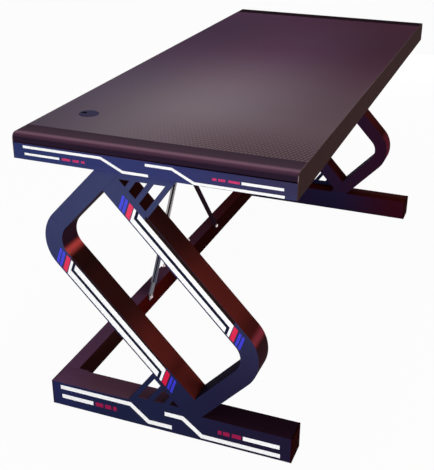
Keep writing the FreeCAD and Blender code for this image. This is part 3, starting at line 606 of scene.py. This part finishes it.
# Pieces
def prism(mesh, outline, axis, low, high):
    """Adds a closed outline drawn out along an axis, and gives its two rings of corners."""
    rings = []
    for at in (low, high):
        corners = [list(point) for point in outline]
        for corner in corners:
            corner.insert(axis, at)
        rings.append([mesh.verts.new(corner) for corner in corners])
        mesh.faces.new(rings[-1])
    for index in range(len(outline)):
        mesh.faces.new((rings[0][index - 1], rings[0][index], rings[1][index], rings[1][index - 1]))
    return rings


def add_piece(name, mesh, finish):
    """A finished mesh as a piece of the desk."""
    bmesh.ops.recalc_face_normals(mesh, faces=mesh.faces)
    data = bpy.data.meshes.new(name)
    mesh.to_mesh(data)
    mesh.free()
    data.shade_smooth()
    data.set_sharp_from_angle(angle=SMOOTH_BELOW)
    data.materials.append(finish)
    piece = bpy.data.objects.new(name, data)
    bpy.context.scene.collection.objects.link(piece)
    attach(piece, "desk")
    return piece


def round_off(mesh, pairs):
    """Rounds the edges between pairs of corners."""
    bmesh.ops.bevel(mesh, geom=[mesh.edges.get(pair) for pair in pairs], offset=TUBE_ROUNDING, offset_type="OFFSET",
                    segments=ROUNDING_SEGMENTS, profile=0.5, affect="EDGES")


def leg_outline():
    """The rear tube of an end frame: its outer side from the beam down, then its inner side back up."""
    leg_along, leg_out = Vector((-cos(LEG_ANGLE), sin(LEG_ANGLE))), Vector((sin(LEG_ANGLE), cos(LEG_ANGLE)))
    butt = FRONT_BEND - leg_out * BEND_INNER_RADIUS
    start, end = pi / 2 - LEG_ANGLE, DIAGONAL_ANGLE - pi / 2
    turns = [start + (end - start) * step / BEND_STEPS for step in range(BEND_STEPS + 1)]
    sides = []
    for radius in (BEND_INNER_RADIUS + LEG_WIDTH, BEND_INNER_RADIUS):
        first, last = REAR_BEND + leg_out * radius, REAR_BEND + ACROSS * radius
        head = first + leg_along * ((beam_low.z - first.y) / leg_along.y)
        foot = last + ALONG * ((butt - last).dot(leg_out) / ALONG.dot(leg_out))
        sides.append([head] + [REAR_BEND + Vector((cos(turn), sin(turn))) * radius for turn in turns] + [foot])
    return sides[0] + sides[1][::-1]


def leg_tube(name, outline, low, high):
    """A bent tube whose long edges are rounded, while both its ends stay square."""
    mesh = bmesh.new()
    rings = prism(mesh, outline, 0, low, high)
    ends = (0, len(outline) // 2)
    long_edges = [index for index in range(len(outline)) if index not in ends]
    round_off(mesh, [(ring[index - 1], ring[index]) for ring in rings for index in long_edges])
    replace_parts(add_piece(f"{name}_rounded", mesh, FINISHES["frame_paint"]), name)


def beam_bar(name):
    """A square-ended bar with rounded long edges, in the place of a box-shaped node that runs from front to rear."""
    low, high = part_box(name)
    mesh = bmesh.new()
    outline = [(low.x, low.z), (high.x, low.z), (high.x, high.z), (low.x, high.z)]
    rings = prism(mesh, outline, 1, low.y, high.y)
    round_off(mesh, list(zip(*rings)))
    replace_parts(add_piece(f"{name}_rounded", mesh, FINISHES[SLOT_OF[name]]), name)


for side, _ in SIDES:
    for beam in ("top_beam", "foot_beam"):
        beam_bar(f"{side}_{beam}")
    for leg, outline in (("rear", leg_outline()), ("front", half_turned([leg_outline()])[0])):
        low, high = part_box(f"{side}_{leg}_leg_tube")
        leg_tube(f"{side}_{leg}_leg_tube", outline, low.x, high.x)


def ink_piece(name, outlines, finish, sign):
    """Closed outlines as thin raised ink on the outer face of one end frame."""
    mesh = bmesh.new()
    for outline in outlines:
        prism(mesh, outline, 0, sign * OUTER_FACE, sign * (OUTER_FACE + PRINT_THICKNESS))
    add_piece(name, mesh, finish)


INKS = {
    "white": printed("white_ink", "#ffffff", "#f4f4f8"),
    "red": printed("red_ink", "#ec4266", "#da3456", low="#d01a42"),
    "wine": printed("wine_ink", "#d03b70", "#af315f", low="#971b48"),
    # The dark ink is painted shade: the border along the tubes' upper edge beside the white band
    "dark": printed("edge_shade_ink", "#22120f", "#1a0d0b"),
    "night": printed("night_ink", "#141a33", "#0f1428"),
    "blue": printed("blue_ink", "#4f50e6", "#4144d2", low="#3a38c8"),
}
beam_ink, beam_origin = beam_print(), Vector((-0.0015, beam_low.z - 0.0006))
foot_ink, foot_origin = foot_print(), Vector((-0.0002, foot_low.z + 0.0012))
rear_ink = diagonal_print(0.0181, (0.0002, 0.0008), -1, 0)
front_ink = diagonal_print(0.0160, (0.0091, -0.0032), 1, 0.036)
for side, sign in SIDES:
    for tint, finish in INKS.items():
        outlines = rear_ink.get(tint, []) + half_turned(front_ink.get(tint, []))
        outlines += moved(beam_ink.get(tint, []), beam_origin) + moved(foot_ink.get(tint, []), foot_origin)
        ink_piece(f"{side}_{tint}_print", outlines, finish, sign)


# Studio: a white floor that keeps the shadow, soft light and the camera
def seen_directly(tree):
    """1 for rays from the camera, mirrors and glass, which see the plain white background."""
    path = node(tree, "ShaderNodeLightPath")
    direct = calc(tree, "MAXIMUM", path.outputs["Is Camera Ray"], path.outputs["Is Glossy Ray"])
    return calc(tree, "MAXIMUM", direct, path.outputs["Is Transmission Ray"])


def studio_floor():
    """A pale floor: mostly plain white to the eye, with the object's shadow laid over it."""
    reach, shadow_share = 12.0, 0.035
    made, tree, shader = start_material("studio_floor")
    shader.inputs["Base Color"].default_value = colour("#f4f4f4")
    shader.inputs["Roughness"].default_value = 1.0
    shader.inputs["Specular IOR Level"].default_value = 0.0
    glow = node(tree, "ShaderNodeEmission", {"Color": (1, 1, 1, 1), "Strength": 1.0})
    share = product(tree, seen_directly(tree), 1 - shadow_share)
    blend = node(tree, "ShaderNodeMixShader", {0: share, 1: shader.outputs[0], 2: glow.outputs[0]})
    tree.links.new(blend.outputs[0], tree.nodes["Material Output"].inputs["Surface"])
    data = bpy.data.meshes.new("floor")
    corners = [(-reach, -reach, 0), (reach, -reach, 0), (reach, reach, 0), (-reach, reach, 0)]
    data.from_pydata(corners, [], [(0, 1, 2, 3)])
    data.materials.append(made)
    floor = bpy.data.objects.new("floor", data)
    bpy.context.scene.collection.objects.link(floor)


def studio_world():
    """White to the eye, and a weak even fill as light."""
    fill = 0.22
    world = bpy.data.worlds.new("studio")
    world.use_nodes = True
    tree = world.node_tree
    background = tree.nodes["Background"]
    background.inputs["Color"].default_value = (1, 1, 1, 1)
    tree.links.new(between(tree, seen_directly(tree), fill, 1.0), background.inputs["Strength"])
    bpy.context.scene.world = world


def soft_light(name, at, towards, extent, watts):
    data = bpy.data.lights.new(name, "AREA")
    data.shape = "RECTANGLE"
    data.size, data.size_y = extent
    data.energy = watts
    lamp = bpy.data.objects.new(name, data)
    lamp.location = at
    lamp.rotation_euler = (Vector(towards) - Vector(at)).to_track_quat("-Z", "Y").to_euler()
    lamp.visible_camera = False
    bpy.context.scene.collection.objects.link(lamp)


def studio_camera():
    """The photo's viewing angle: yaw from +X to the rear, pitch down and a slight roll."""
    at = (-2.37865, -0.76573, 1.40246)
    yaw, pitch, roll = radians(21.0753), radians(25.7003), radians(0.2885)
    focal_pixels, image_height, sensor = 851.74, 470, 36.0
    forward = Vector((cos(yaw) * cos(pitch), sin(yaw) * cos(pitch), -sin(pitch)))
    right = Vector((sin(yaw), -cos(yaw), 0))
    up = right.cross(forward)
    right, up = right * cos(roll) + up * sin(roll), up * cos(roll) - right * sin(roll)
    data = bpy.data.cameras.new("camera")
    data.sensor_width = sensor
    data.lens = focal_pixels * sensor / image_height
    camera = bpy.data.objects.new("camera", data)
    turn = Matrix((right, up, -forward)).transposed().to_4x4()
    camera.matrix_world = Matrix.Translation(at) @ turn
    bpy.context.scene.collection.objects.link(camera)
    bpy.context.scene.camera = camera


studio_floor()
studio_world()
soft_light("top", at=(-0.35, 0.0, 1.85), towards=(-0.35, 0, 0.75), extent=(0.7, 0.7), watts=10.4)
soft_light("side", at=(-3.4, -0.5, 0.3), towards=(-0.8, 0, 0.3), extent=(1.6, 0.55), watts=49)
soft_light("front", at=(0.4, -3.0, 0.6), towards=(0, 0, 0.5), extent=(1.6, 1.0), watts=19)
soft_light("right", at=(3.4, 0.5, 0.3), towards=(0.8, 0, 0.3), extent=(1.6, 0.55), watts=24)
soft_light("rear", at=(0.0, 3.2, 0.7), towards=(0, 0, 0.5), extent=(1.6, 1.0), watts=12)
studio_camera()
bpy.context.scene.view_settings.view_transform = "Standard"
